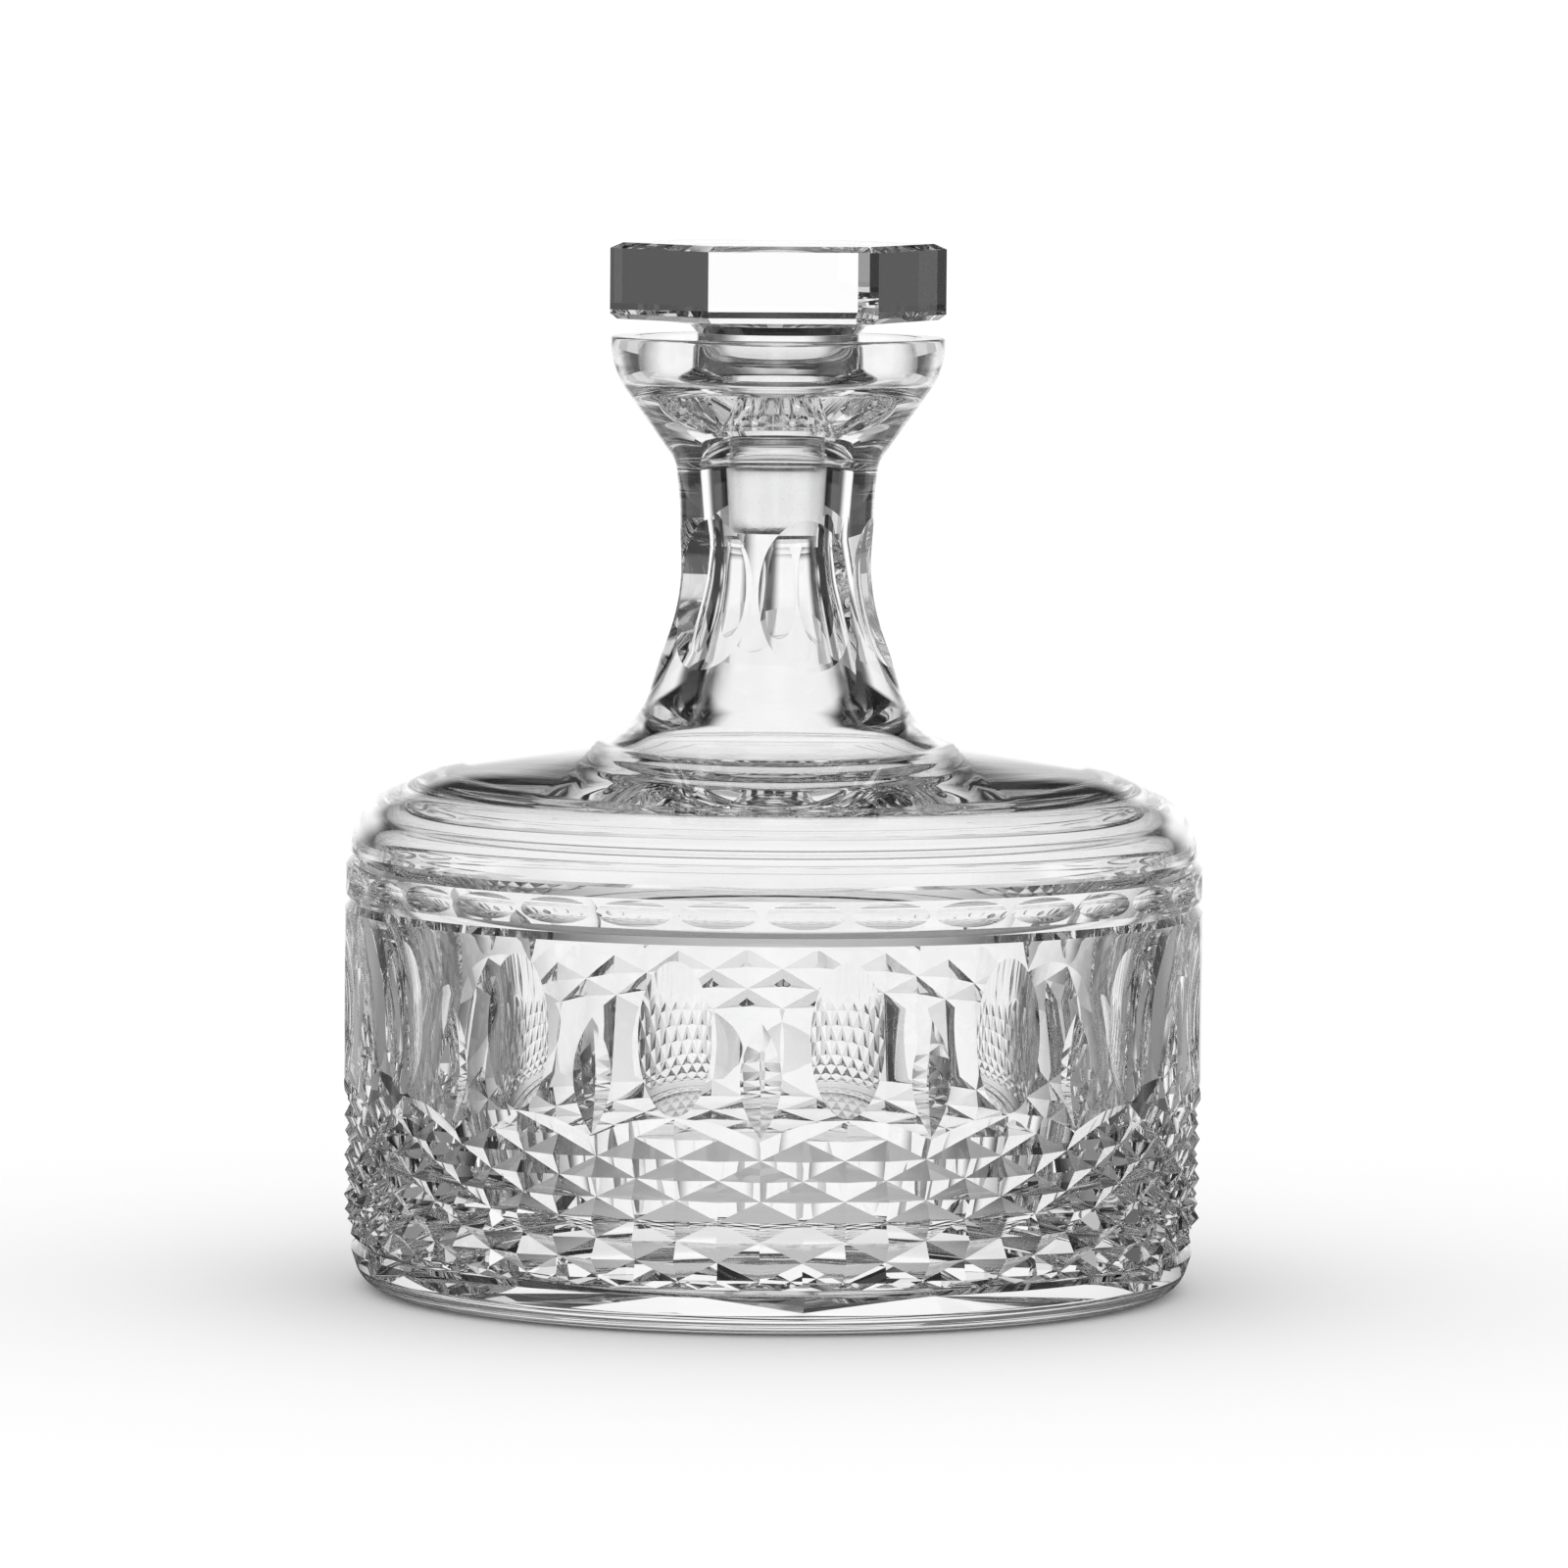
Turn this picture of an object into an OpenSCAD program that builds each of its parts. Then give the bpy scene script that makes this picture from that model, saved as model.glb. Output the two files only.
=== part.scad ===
// Cut-glass wine decanter: a blown and wheel-cut bottle and its ground-in stopper.
// Millimetres, +Z up, origin on the axis at the table. The front of the part faces -Y.

/* [Bottle] */
// outer diameter of the straight side
body_d = 140; // [120:1:160]
// height of the rim above the table
rim_z = 155.2; // [150:0.2:165]
// height at which the cut side ends and the bead belt begins
side_z = 61.9; // [58:0.1:66]
// thickness of the side wall where it is thinnest, at its top
wall = 4.7; // [4:0.1:6]
// height of the cavity floor above the table
floor_z = 13; // [10:0.5:16]
// thickness of the shoulder at its outer edge
shoulder_wall = 3.7; // [3:0.1:4.6]

/* [Foot] */
// height of the plain foot ring
foot_h = 7.1; // [6:0.1:8]
// how far the foot ring stands inside the straight side
foot_inset = 1.2; // [1:0.1:2]
// width of the flat ring that rests on the table
rest_width = 11; // [8:0.5:14]
// depth of the hollow ground in the underside
hollow = 1.2; // [0.6:0.1:2]

/* [Neck and mouth] */
// diameter at the narrowest point of the neck
neck_d = 31; // [29:0.1:33]
// outer diameter of the mouth cup
mouth_d = 54.4; // [52:0.2:58]
// thickness of the mouth cup at the rim
rim_wall = 4; // [3:0.1:5]
// depth of the mouth cup
cup_depth = 12; // [10:0.5:13]

/* [Stopper] */
// head width from corner to corner
head_d = 55; // [50:0.5:58]
// height of the six-sided head
head_h = 12.4; // [10:0.2:16]
// slit between the rim and the head
head_gap = 2.8; // [2:0.1:4]
// large diameter of the ground plug
plug_d = 16.4; // [15:0.1:17]
// length of the ground plug
plug_len = 13.4; // [10:0.1:15]
// the ground taper narrows by 1 in this many, on diameter
taper = 10; // [8:0.5:14]
// turn of the head against the cut pattern
head_turn = 7.3; // [0:0.1:60]

/* [Cuts] */
// panels around the side, each with one oval and one pointed cut
panels = 16; // [12:1:18]
// height of the tall ovals
oval_h = 24.8; // [20:0.2:26]
// depth of the tall ovals
oval_depth = 1.4; // [1:0.1:1.8]
// height of the pointed cuts
point_h = 18.6; // [14:0.2:19]
// depth of the pointed cuts
point_depth = 1.3; // [0.8:0.1:1.8]
// depth of the diamond grooves
diamond_depth = 1.9; // [1.2:0.1:2.4]
// depth of the belt beads
bead_depth = 0.62; // [0.4:0.02:0.8]
// ovals around the neck
neck_ovals = 6; // [5:1:8]
// turn of the neck ovals against the side pattern
neck_turn = 19.7; // [0:0.1:60]

/* [Clearances] */
// radial gap in the ground taper
plug_gap = 0.05; // [0.02:0.01:0.1]
// gap between the stopper's collar and the mouth cup
cup_gap = 0.5; // [0.4:0.05:0.8]
// radial relief of the stopper stem above the ground plug
stem_relief = 0.4; // [0.3:0.05:0.6]

/* [Hidden] */
$fn = 96;
arc_step = 7;

body_r = body_d / 2;
cavity_r = body_r - wall;
cavity_bend_r = cavity_r - 4.55;
cavity_bend_z = side_z - 15.9;
cavity_floor_r = cavity_r - 7.2;
foot_r = body_r - foot_inset;
notch_r = foot_r - 1.1;
rest_r = foot_r - 2;
hollow_run = 3;
rest_in = rest_r - 2 - hollow_run - rest_width;

groove_z = side_z + 1.2;
belt_r = body_r - 0.15;
belt_z = side_z + 2.4;
belt_h = 4.7;
ledge_z = belt_z + belt_h;
shoulder_z = ledge_z + 1.6;
shoulder_r = body_r - 1;
shoulder_knee_z = shoulder_z + 7.3;
crown_r = body_r - 15.5;
crown_z = shoulder_z + 14;
root_r = neck_d / 2 + 7.1;
root_z = shoulder_z + 19.6;
neck_r = neck_d / 2 + 0.1;
waist_z = rim_z - 27.2;
swell_r = neck_r + 0.65;
swell_z = waist_z - 16.3;
cup_foot_z = rim_z - 20.2;
mouth_r = mouth_d / 2;
cup_knee_z = rim_z - 5.2;
cup_r = mouth_r - rim_wall;

plug_r = plug_d / 2;
plug_end_r = plug_r - plug_len / taper / 2;
plug_top_z = rim_z - 18.4;
plug_end_z = plug_top_z - plug_len;
cup_slope = 0.386;
cup_floor_z = rim_z - cup_depth;
cup_floor_r = plug_r + 0.8;
head_z = rim_z + head_gap;
stem_r = plug_r - stem_relief;
collar_r = plug_r + 9.2;
collar_z = cup_floor_z + 0.2 + cup_gap;
shank_r = plug_r + 5;

columns = panels * 4;
column_turn = 360 / columns;
row_h = 3.24;
row_0 = 27.9;
rows = 6;
field_end_z = foot_h + 0.2;
field_end_r = notch_r - 0.2;
cutter_r = body_r + 3;

oval_z = 47.1;
oval_w = 12.1;
point_z = 40.8;
point_w = 7;
bead_z = belt_z + belt_h / 2;
bead_len = PI * body_d / panels / 2 - 0.95;
bead_h = 4.3;
neck_oval_z = rim_z - 38.1;
neck_oval_r = neck_d / 2 - 1.25;
neck_wheel_r = 26.5;
neck_oval_below = 20;
neck_oval_above = 12;

function unit(v) = v / norm(v);

function arc_steps(turn) = max(2, ceil(turn / arc_step));

// points of one rounded corner b between a and c
function corner(a, b, c, r) =
    let (
        u = unit(a - b),
        v = unit(c - b),
        half = acos(u * v) / 2,
        centre = b + unit(u + v) * r / sin(half),
        start = b + u * r / tan(half),
        from = atan2(start[1] - centre[1], start[0] - centre[0]),
        turn = 180 - 2 * half,
        way = cross(b - a, c - b) > 0 ? 1 : -1,
        n = arc_steps(turn)
    )
    [for (k = [0 : n]) centre + r * [cos(from + way * turn * k / n), sin(from + way * turn * k / n)]];

function flat(p) = [p[0], p[1]];

// outline through [radius, height, rounding] corners
function rounded(list) =
    [for (i = [0 : len(list) - 1])
        each (list[i][2] == 0
            ? [flat(list[i])]
            : corner(flat(list[i - 1]), flat(list[i]), flat(list[i + 1]), list[i][2]))];

bottle_outside = [
    [0, hollow, 0],
    [rest_in, hollow, 3],
    [rest_in + hollow_run, 0, 2],
    [rest_r, 0, 5],
    [foot_r, foot_h - 0.9, 0],
    [notch_r, foot_h, 0],
    [notch_r, foot_h + 0.5, 0],
    [body_r, foot_h + 0.5, 0],
    [body_r, side_z, 0],
    [body_r - 0.85, groove_z, 0],
    [belt_r, belt_z, 0],
    [belt_r, ledge_z, 0],
    [body_r - 1.3, shoulder_z, 0],
    [shoulder_r, shoulder_z + 0.6, 0],
    [shoulder_r, shoulder_knee_z, 9.8],
    [crown_r, crown_z, 36],
    [root_r, root_z, 12],
    [swell_r, swell_z, 60],
    [neck_r, waist_z, 60],
    [neck_r + 1, cup_foot_z, 5],
    [mouth_r, cup_knee_z, 13.4],
    [mouth_r, rim_z, 0.5]
];

bottle_inside = [
    [cup_r, rim_z, 0.5],
    [cup_r - 0.9, cup_floor_z + (cup_r - 0.9 - cup_floor_r) * cup_slope, 5],
    [cup_floor_r, cup_floor_z, 0],
    [plug_r + plug_gap, cup_floor_z - 0.7, 0],
    [plug_r + plug_gap, plug_top_z, 0],
    [plug_end_r + plug_gap, plug_end_z, 0],
    [plug_end_r + plug_gap, plug_end_z - 1.5, 0],
    [plug_r + 0.1, plug_end_z - 8, 30],
    [plug_r + 4.2, root_z + 5.2, 20],
    [neck_d / 2 + 8.5, root_z - shoulder_wall - 2.1, 12],
    [crown_r + 5.7, crown_z - shoulder_wall - 1.2, 12],
    [cavity_r, shoulder_knee_z - 4.1, 5],
    [cavity_r, side_z + 3.5, 40],
    [cavity_bend_r, cavity_bend_z, 75],
    [cavity_floor_r, floor_z, 8],
    [0, floor_z, 0]
];

// diamond field
// columns count from an oval, pointed cuts stand on every fourth column from column 2
// groove crossings lie where column and row add up even, the raised points between them
function column_angle(i) = (i - 2) * column_turn - 90;

function row_z(k) = k > rows ? field_end_z : row_0 - k * row_h;

function first_row(i) = [-2, -1, 0, -1][i % 4];

function groove_depth(k) = k == -2 ? 0.1 : k == -1 ? diamond_depth * 0.84 : diamond_depth;

function is_groove(i, k) = (i + k + 2) % 2 == 0;

function node_r(i, k) =
    k > rows
        ? field_end_r
        : body_r - (is_groove(i, k) ? groove_depth(k) : 0.05) - (k == rows ? 1.1 : 0);

function at(r, i, z) = [r * cos(column_angle(i)), r * sin(column_angle(i)), z];

// where the upper slope of the top groove runs out of the side
function runout_z(i) =
    row_z(first_row(i)) + (cutter_r - node_r(i, first_row(i))) * row_h / diamond_depth;

field_points = [for (i = [0 : columns - 1])
    each concat(
        [for (k = [first_row(i) : rows + 1]) at(node_r(i, k), i, row_z(k))],
        [at(cutter_r, i, field_end_z), at(cutter_r, i, runout_z(i))]
    )];

per_panel = 44;

function start_of(i) = floor(i / 4) * per_panel + [0, 12, 23, 33][i % 4];

function id(i, k) = let (c = i % columns) start_of(c) + k - first_row(c);

function low_id(i) = id(i, rows + 2);

function high_id(i) = id(i, rows + 3);

// a four-sided patch split along the line that joins its groove crossings
function patch(a, b, c, d, along) = along ? [[a, b, c], [a, c, d]] : [[a, b, d], [b, c, d]];

function cell(i, k) =
    patch(id(i, k), id(i, k + 1), id(i + 1, k + 1), id(i + 1, k), is_groove(i, k));

function top_edge(i) =
    let (a = first_row(i % 4), b = first_row((i + 1) % 4))
    a < b
        ? [[id(i, a), id(i, b), id(i + 1, b)]]
        : [[id(i, a), id(i + 1, a), id(i + 1, b)]];

function top_row(i) = max(first_row(i % 4), first_row((i + 1) % 4));

function top_id(i) = id(i, first_row(i % 4));

field_faces = [for (i = [0 : columns - 1])
    each concat(
        top_edge(i),
        [for (k = [top_row(i) : rows]) each cell(i, k)],
        patch(top_id(i), top_id(i + 1), high_id(i + 1), high_id(i), true),
        patch(high_id(i), high_id(i + 1), low_id(i + 1), low_id(i), true),
        patch(id(i, rows + 1), low_id(i), low_id(i + 1), id(i + 1, rows + 1), true)
    )];

module diamond_cutter() {
    polyhedron(points = field_points, faces = field_faces, convexity = 10);
}

// round-edged wheel lying in the XZ plane, its rim reaching x = 0
module round_wheel(radius, edge) {
    translate([radius, 0, 0])
        rotate([90, 0, 0])
            rotate_extrude()
                translate([radius - edge, 0])
                    circle(r = edge);
}

// wheel with a pointed edge lying in the XZ plane, its rim reaching x = 0
module pointed_wheel(radius, slope, half) {
    translate([radius, 0, 0])
        rotate([90, 0, 0])
            rotate_extrude()
                polygon([
                    [radius - 8, -half],
                    [radius - half * slope, -half],
                    [radius, 0],
                    [radius - half * slope, half],
                    [radius - 8, half]
                ]);
}

// the part of a wheel next to the glass
module tip(half_width, half_height) {
    intersection() {
        children();
        translate([-1, -half_width - 0.2, -half_height - 0.2])
            cube([4, 2 * half_width + 0.4, 2 * half_height + 0.4]);
    }
}

// edge radius of a wheel that cuts a given width into a round side
function edge_for(width, depth, side_r) =
    let (q = width * width / 8 / depth)
    q * side_r / (side_r - q);

// radius of a wheel that cuts a given length on a flat line
function wheel_for(length, depth) = length * length / 8 / depth;

module around(count, from) {
    for (k = [0 : count - 1])
        rotate([0, 0, from + k * 360 / count])
            children();
}

module side_ovals() {
    around(panels, column_angle(0))
        translate([body_r - oval_depth, 0, oval_z])
            tip(oval_w / 2, oval_h / 2)
                round_wheel(wheel_for(oval_h, oval_depth), edge_for(oval_w, oval_depth, body_r));
}

module side_points() {
    around(panels, column_angle(2))
        translate([body_r - point_depth, 0, point_z])
            tip(point_w / 2, point_h / 2)
                pointed_wheel(wheel_for(point_h, point_depth), 2 * point_depth / point_w, 5);
}

module belt_beads() {
    around(2 * panels, column_angle(1))
        translate([belt_r - bead_depth, 0, bead_z])
            tip(bead_len / 2, bead_h / 2)
                rotate([90, 0, 0])
                    round_wheel(edge_for(bead_len, bead_depth, belt_r), wheel_for(bead_h, bead_depth));
}

module neck_flats() {
    around(neck_ovals, neck_turn - 90)
        intersection() {
            translate([neck_oval_r + neck_wheel_r, 0, neck_oval_z])
                rotate([90, 0, 0])
                    cylinder(h = neck_d, r = neck_wheel_r, center = true);
            translate([neck_d / 4, -neck_d / 2, neck_oval_z - neck_oval_below])
                cube([neck_d / 2, neck_d, neck_oval_below + neck_oval_above]);
        }
}

module bottle() {
    color([0.86, 0.91, 0.92, 0.45])
        difference() {
            rotate_extrude()
                polygon(rounded(concat(bottle_outside, bottle_inside)));
            side_ovals();
            side_points();
            belt_beads();
            neck_flats();
            diamond_cutter();
        }
}

stopper_outline = [
    [0, plug_end_z, 0],
    [plug_end_r - 0.6, plug_end_z, 0],
    [plug_end_r + 0.03, plug_end_z + 0.6, 0],
    [plug_r, plug_top_z, 0],
    [stem_r, plug_top_z + 0.6, 0],
    [stem_r, collar_z - 0.3, 0],
    [cup_floor_r, collar_z, 0],
    [collar_r, collar_z + (collar_r - cup_floor_r) * cup_slope, 1.8],
    [shank_r, rim_z - 2.4, 5],
    [shank_r, rim_z + head_gap * 0.2, 0],
    [shank_r + 1.2, head_z - 0.9, 0],
    [head_d * 0.41, head_z + 0.1, 0],
    [head_d * 0.41, head_z + 2, 0],
    [0, head_z + 2, 0]
];

module hex_head() {
    r = head_d / 2;
    translate([0, 0, head_z])
        rotate([0, 0, head_turn - 60]) {
            cylinder(h = 0.9, r1 = r - 1.2, r2 = r, $fn = 6);
            translate([0, 0, 0.9])
                cylinder(h = head_h - 1.8, r = r, $fn = 6);
            translate([0, 0, head_h - 0.9])
                cylinder(h = 0.9, r1 = r, r2 = r - 2.1, $fn = 6);
        }
}

module stopper() {
    color([0.90, 0.94, 0.95, 0.5])
        union() {
            rotate_extrude()
                polygon(rounded(stopper_outline));
            hex_head();
        }
}

bottle();
stopper();
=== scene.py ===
"""Cut-glass wine decanter. Both glass pieces are remade as dense closed meshes with exact normals."""
import math

import bpy
import numpy as np
from mathutils import Matrix, Vector
from mathutils.geometry import delaunay_2d_cdt


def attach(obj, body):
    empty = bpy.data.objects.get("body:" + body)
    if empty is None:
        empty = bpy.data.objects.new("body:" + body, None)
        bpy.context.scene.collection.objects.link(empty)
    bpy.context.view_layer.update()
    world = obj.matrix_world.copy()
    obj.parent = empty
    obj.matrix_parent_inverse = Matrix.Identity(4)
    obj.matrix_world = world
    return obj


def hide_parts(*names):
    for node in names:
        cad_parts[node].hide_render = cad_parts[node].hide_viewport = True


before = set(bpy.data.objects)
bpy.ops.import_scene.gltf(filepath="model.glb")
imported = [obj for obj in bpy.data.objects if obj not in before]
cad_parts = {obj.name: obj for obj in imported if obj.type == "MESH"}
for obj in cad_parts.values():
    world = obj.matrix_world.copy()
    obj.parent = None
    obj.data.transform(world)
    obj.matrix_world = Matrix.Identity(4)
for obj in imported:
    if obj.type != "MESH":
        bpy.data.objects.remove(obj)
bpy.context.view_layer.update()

# fineness of the meshes: steps of a full turn, and the degrees and the least number of an arc's steps
TURN_STEPS = 384
STEP = 360 / TURN_STEPS
ARC_STEP, ARC_LEAST = 2.5, 3

# sizes of the bottle in mm, as in the CAD source
MM = 0.001
BODY_R = 70.0
BELT_R = 69.85
SIDE_TOP = 61.9
BELT_LOW, BELT_TOP = 64.3, 69.0
FIELD_END_R, FIELD_END_Z = 67.5, 7.3
NECK_R = 16.0
NECK_LOW, NECK_TOP = 100.2, 127.4

# turned outlines of the bottle, as corners (radius, height, fillet)
FOOT = [
    (0, 1.2, 0), (50.8, 1.2, 3), (53.8, 0, 2), (66.8, 0, 5), (68.8, 6.2, 0), (67.7, 7.1, 0),
    (FIELD_END_R, FIELD_END_Z, 0),
]
GROOVE = [(BODY_R, SIDE_TOP, 0), (69.15, 63.1, 0), (BELT_R, BELT_LOW, 0)]
SHOULDER = [(BELT_R, BELT_TOP, 0), (68.7, 70.6, 0), (69, 71.2, 0), (69, 77.9, 9.8), (54.5, 84.6, 36)]
NECK = [(22.6, 90.2, 12), (16.25, 111.7, 60), (15.6, 128.0, 60), (16.6, 135.0, 5)]
CUP = [(27.2, 150.0, 13.4), (27.2, 155.2, 0.5), (23.2, 155.2, 0.5), (22.3, 148.33, 5), (9.0, 143.2, 0)]
SEAT = [(8.25, 142.5, 0), (8.25, 136.8, 0), (7.58, 123.4, 0), (7.58, 121.9, 0)]
BORE = [(8.3, 115.4, 30), (12.4, 95.4, 20), (24.0, 84.4, 12)]
CAVITY = [
    (60.2, 79.7, 12), (65.3, 73.8, 5), (65.3, 65.4, 40), (60.75, 46, 75), (58.1, 13, 8), (0, 13, 0),
]

# the stopper: its turned outline, and the corner radius and height of the rings of its head
PLUG_LOW, PLUG_TOP = 123.9, 136.8
SHANK_R, HEAD_LOW = 21.735, 158.0
STOPPER = [
    (0, 123.4, 0), (6.93, 123.4, 0), (7.56, 124.0, 0), (8.2, PLUG_TOP, 0), (7.8, 137.4, 0),
    (7.8, 143.6, 0), (9.0, 143.9, 0), (17.4, 147.14, 1.8), (13.2, 152.8, 5), (13.2, 155.76, 0),
    (14.4, 157.1, 0), (SHANK_R, HEAD_LOW, 0),
]
HEAD_SIDES = 6
HEAD_TURN = 7.3 - 360 / HEAD_SIDES
HEAD_RINGS = [(26.3, HEAD_LOW), (27.5, 158.9), (27.5, 169.5), (25.4, 170.4)]

# places of the cuts around the bottle, in degrees, on whole turning steps so that borders weld
FRONT = -90
PANELS = 16
PANEL_TURN = 360 / PANELS
OVAL_AT = FRONT - PANEL_TURN / 2
NECK_OVALS = 6
NECK_OVAL_AT = -75 * STEP
NECK_STEPS = TURN_STEPS // NECK_OVALS // 2

# the diamond field: columns in each panel, rows downwards, and depths of its nodes
COLUMNS = 4
COLUMN_TURN = PANEL_TURN / COLUMNS
COLUMN_STEPS = TURN_STEPS // PANELS // COLUMNS
ROW_0, ROW_H, ROWS = 27.9, 3.24, 6
FIRST_ROWS = (-2, -1, 0, -1)
GROOVE_DEPTH, RIDGE_DEPTH = 1.9, 0.05
TOP_DEPTHS = {-2: 0.1, -1: 1.6}
LAST_ROW_IN = 1.1

# the wheel cuts: depth, height, width or length, and height of the middle
OVAL_DEPTH, OVAL_H, OVAL_W, OVAL_Z = 1.4, 24.8, 12.1, 47.1
POINT_DEPTH, POINT_H, POINT_W, POINT_Z = 1.3, 18.6, 7.0, 40.8
BEAD_DEPTH, BEAD_H, BEAD_Z, BEAD_GAP = 0.62, 4.3, 66.65, 0.95
BEAD_LEN = math.pi * 2 * BODY_R / PANELS / 2 - BEAD_GAP
FLAT_NEAR, FLAT_WHEEL_R, FLAT_Z = 14.25, 26.5, 117.1

# limits of the calculations: lengths in mm that count as none and as the same place, and halvings of a range
TINY, SAME = 1e-9, 1e-6
HALVINGS = 60

# radii in mm that the surface of every cut lies between
DEEPEST_R, OUTSIDE_R = 8.0, BODY_R + 1

# cells of the weld in each mm, and a shift that keeps round sizes off the cells' borders
WELD_STEPS, WELD_SHIFT = 1000.0, 0.137


# turned outlines
def outline(corners):
    """Pieces (start, end, their normals, arc) of an outline with rounded corners, glass on its left."""
    pieces = []
    last = None

    def line(a, b):
        d = np.subtract(b, a)
        length = math.hypot(*d)
        if length > TINY:
            n = (d[1] / length, -d[0] / length)
            pieces.append((a, b, n, n, None))

    for i, (r, z, fillet) in enumerate(corners):
        if fillet == 0:
            if last is not None:
                line(last, (r, z))
            last = (r, z)
            continue
        a, b, c = (np.array(corners[j][:2], float) for j in (i - 1, i, i + 1))
        u = (a - b) / np.linalg.norm(a - b)
        v = (c - b) / np.linalg.norm(c - b)
        half = math.acos(float(np.clip(u @ v, -1, 1))) / 2
        centre = b + (u + v) / np.linalg.norm(u + v) * fillet / math.sin(half)
        start = b + u * fillet / math.tan(half)
        first = math.atan2(start[1] - centre[1], start[0] - centre[0])
        turn = math.pi - 2 * half
        way = 1 if (b - a)[0] * (c - b)[1] - (b - a)[1] * (c - b)[0] > 0 else -1
        count = max(ARC_LEAST, math.ceil(math.degrees(turn) / ARC_STEP))
        angles = [first + way * turn * k / count for k in range(count + 1)]
        points = [(centre[0] + fillet * math.cos(t), centre[1] + fillet * math.sin(t)) for t in angles]
        normals = [(way * math.cos(t), way * math.sin(t)) for t in angles]
        line(last, points[0])
        for k in range(count):
            pieces.append((points[k], points[k + 1], normals[k], normals[k + 1], (centre, fillet, way)))
        last = points[-1]
    return pieces


def at_height(piece, z):
    """Radius and normal of a piece of an outline at a height."""
    p, q, n, _, arc = piece
    if arc is None:
        t = (z - p[1]) / (q[1] - p[1])
        return p[0] + t * (q[0] - p[0]), n
    centre, radius, way = arc
    dz = z - centre[1]
    dr = math.sqrt(max(0, radius * radius - dz * dz)) * (1 if (p[0] + q[0]) / 2 > centre[0] else -1)
    return centre[0] + dr, (way * dr / radius, way * dz / radius)


def split(pieces, z):
    """An outline cut in two at height z, where it first rises past it."""
    for k, piece in enumerate(pieces):
        p, q, n, m, arc = piece
        if p[1] <= z < q[1]:
            r, normal = at_height(piece, z)
            low = pieces[:k] + [(p, (r, z), n, normal, arc)]
            high = [((r, z), q, normal, m, arc)] + pieces[k + 1:]
            return low, high
    raise ValueError(z)


# triangles with their own normals
class Skin:
    """Triangles with a normal at each corner and a material slot, which are welded into one mesh."""

    def __init__(self):
        self.tris, self.normals, self.kinds = [], [], []

    def add(self, tris, normals, kind):
        tris = np.asarray(tris, float).reshape(-1, 3, 3)
        self.tris.append(tris)
        self.normals.append(np.asarray(normals, float).reshape(-1, 3, 3))
        self.kinds.append(np.full(len(tris), kind))

    def flat(self, tris, kind, outward):
        """Flat-shaded triangles, turned so that they face along outward."""
        tris = np.asarray(tris, float).reshape(-1, 3, 3).copy()
        n = np.cross(tris[:, 1] - tris[:, 0], tris[:, 2] - tris[:, 0])
        n /= np.linalg.norm(n, axis=1)[:, None]
        back = np.einsum("ij,ij->i", n, outward(tris.mean(axis=1))) < 0
        tris[back] = tris[back][:, ::-1]
        n[back] *= -1
        self.add(tris, np.repeat(n[:, None], 3, axis=1), kind)

    def revolve(self, pieces, kind):
        """The pieces of an outline, turned around the axis."""
        a = np.radians(np.arange(TURN_STEPS) * STEP)
        b = np.roll(a, -1)

        def ring(p, t):
            return np.stack([p[0] * np.cos(t), p[0] * np.sin(t), np.full(len(t), p[1])], axis=1)

        for p, q, n, m, _ in pieces:
            pa, pb, qa, qb = ring(p, a), ring(p, b), ring(q, a), ring(q, b)
            na, nb, ma, mb = ring(n, a), ring(n, b), ring(m, a), ring(m, b)
            if p[0] > 0:
                self.add(np.stack((pa, pb, qb), axis=1), np.stack((na, nb, mb), axis=1), kind)
            if q[0] > 0:
                self.add(np.stack((pa, qb, qa), axis=1), np.stack((na, mb, ma), axis=1), kind)

    def build(self, name, materials):
        """The welded mesh as an object. Corners in the same cell of a fine grid become one point."""
        tris = np.concatenate(self.tris)
        normals = np.concatenate(self.normals)
        kinds = np.concatenate(self.kinds)
        keys = np.round(tris.reshape(-1, 3) * WELD_STEPS + WELD_SHIFT).astype(np.int64)
        _, first, index = np.unique(keys, axis=0, return_index=True, return_inverse=True)
        faces = index.reshape(-1, 3)
        whole = (faces[:, 0] != faces[:, 1]) & (faces[:, 1] != faces[:, 2]) & (faces[:, 0] != faces[:, 2])
        faces, normals, kinds = faces[whole], normals[whole], kinds[whole]
        points = tris.reshape(-1, 3)[first] * MM
        mesh = bpy.data.meshes.new(name)
        mesh.from_pydata(points.tolist(), [], faces.tolist())
        mesh.polygons.foreach_set("use_smooth", np.ones(len(faces), bool))
        for material in materials:
            mesh.materials.append(material)
        mesh.polygons.foreach_set("material_index", kinds.astype(np.int32))
        lengths = np.linalg.norm(normals, axis=2, keepdims=True)
        mesh.normals_split_custom_set((normals / lengths).reshape(-1, 3).tolist())
        mesh.update()
        obj = bpy.data.objects.new(name, mesh)
        bpy.context.scene.collection.objects.link(obj)
        return obj


def radial(points):
    """Level directions away from the axis at these points."""
    n = points.copy()
    n[:, 2] = 0
    return n / np.linalg.norm(n, axis=1)[:, None]


def mesh_inside(points, edges):
    """Points and triangles of the area inside lines of edges between flat points."""
    inside_lines, epsilon = 1, 1e-7
    out = delaunay_2d_cdt([Vector(p) for p in points], edges, [], inside_lines, epsilon)
    return np.array([points[ids[0]] for ids in out[3]]), np.array([list(face) for face in out[2]])


# grinding wheels
def halve(inside, low, high):
    """The range from low, where inside(value) holds, to high, where it doesn't, made narrow."""
    for _ in range(HALVINGS):
        mid = (low + high) / 2
        held = inside(mid)
        low, high = np.where(held, mid, low), np.where(held, high, mid)
    return low, high


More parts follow.
